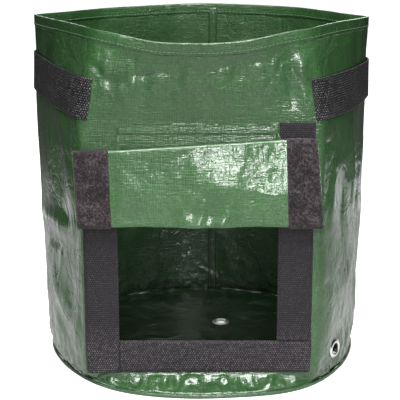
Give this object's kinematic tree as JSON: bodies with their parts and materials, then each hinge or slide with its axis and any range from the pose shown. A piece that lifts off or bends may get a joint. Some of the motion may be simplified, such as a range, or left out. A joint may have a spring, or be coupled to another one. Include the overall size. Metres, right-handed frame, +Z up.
{
  "type": "fabric grow bag",
  "caption": "Free-standing round fabric grow bag with a side access window, a fold-up hook-and-loop flap, two webbing handles and drainage eyelets.",
  "frame": {"origin": "centre of the base's underside", "axes": "+Z up, -Y towards the window and its flap, +X to the right seen from the front"},
  "size_m": [0.3796, 0.3538, 0.3778],
  "materials": {
    "woven_green": "semi-gloss laminated woven polyethylene",
    "hook_tape": "hook side of hook-and-loop tape, satin",
    "loop_tape": "loop side of hook-and-loop tape, fuzzy",
    "webbing": "woven polypropylene webbing, slight sheen",
    "seam_tape": "folded woven polyethylene seam",
    "thread_green": "sewing thread",
    "thread_black": "sewing thread",
    "eyelet_metal": "bright nickel plate"
  },
  "bodies": {
    "bag": {"wall_panel": "woven_green", "base_panel": "woven_green", "base_seam_lip": "woven_green", "base_seam_stitching": "thread_green", "rim_hem": "woven_green", "rim_hem_stitching": "thread_green", "rear_seam_tape": "seam_tape", "rear_seam_stitching": "thread_green", "hook_tape_left": "hook_tape", "hook_tape_right": "hook_tape", "hook_tape_bottom": "hook_tape", "hook_tape_stitching": "thread_black", "flap_hinge_stitching": "thread_green", "eyelet_front": "eyelet_metal", "eyelet_front_washer": "eyelet_metal", "eyelet_rear": "eyelet_metal", "eyelet_rear_washer": "eyelet_metal", "base_eyelet": "eyelet_metal", "base_eyelet_washer": "eyelet_metal", "handle_left_sewn_ends": "webbing", "handle_left_stitching": "thread_black", "handle_right_sewn_ends": "webbing", "handle_right_stitching": "thread_black"},
    "flap_upper": {"flap_upper_panel": "woven_green", "flap_upper_loop_left": "loop_tape", "flap_upper_loop_right": "loop_tape", "flap_upper_stitching": "thread_green"},
    "flap_fold": {"flap_middle_panel": "woven_green", "flap_middle_loop_left": "loop_tape", "flap_middle_loop_right": "loop_tape", "flap_middle_stitching": "thread_green", "flap_tail_panel": "woven_green", "flap_tail_loop_left": "loop_tape", "flap_tail_loop_right": "loop_tape", "flap_tail_loop_bottom": "loop_tape", "flap_tail_stitching": "thread_green"},
    "handle_left": {"handle_left_strap": "webbing"},
    "handle_right": {"handle_right_strap": "webbing"}
  },
  "joints": [
    {"name": "flap_lift", "type": "hinge", "parent": "bag", "child": "flap_upper", "pos_m": [0, -0.1499, 0.282], "axis": [-1, 0, 0], "range_deg": [0, 135]},
    {"name": "flap_unfold", "type": "hinge", "parent": "flap_upper", "child": "flap_fold", "pos_m": [0, -0.15375, 0.1865], "axis": [1, 0, 0], "range_deg": [0, 180]},
    {"name": "handle_left_lift", "type": "slide", "parent": "bag", "child": "handle_left", "axis": [-0.6, 0, 0.8], "range_m": [0, 0.025]},
    {"name": "handle_right_lift", "type": "slide", "parent": "bag", "child": "handle_right", "axis": [0.6, 0, 0.8], "range_m": [0, 0.025]}
  ]
}
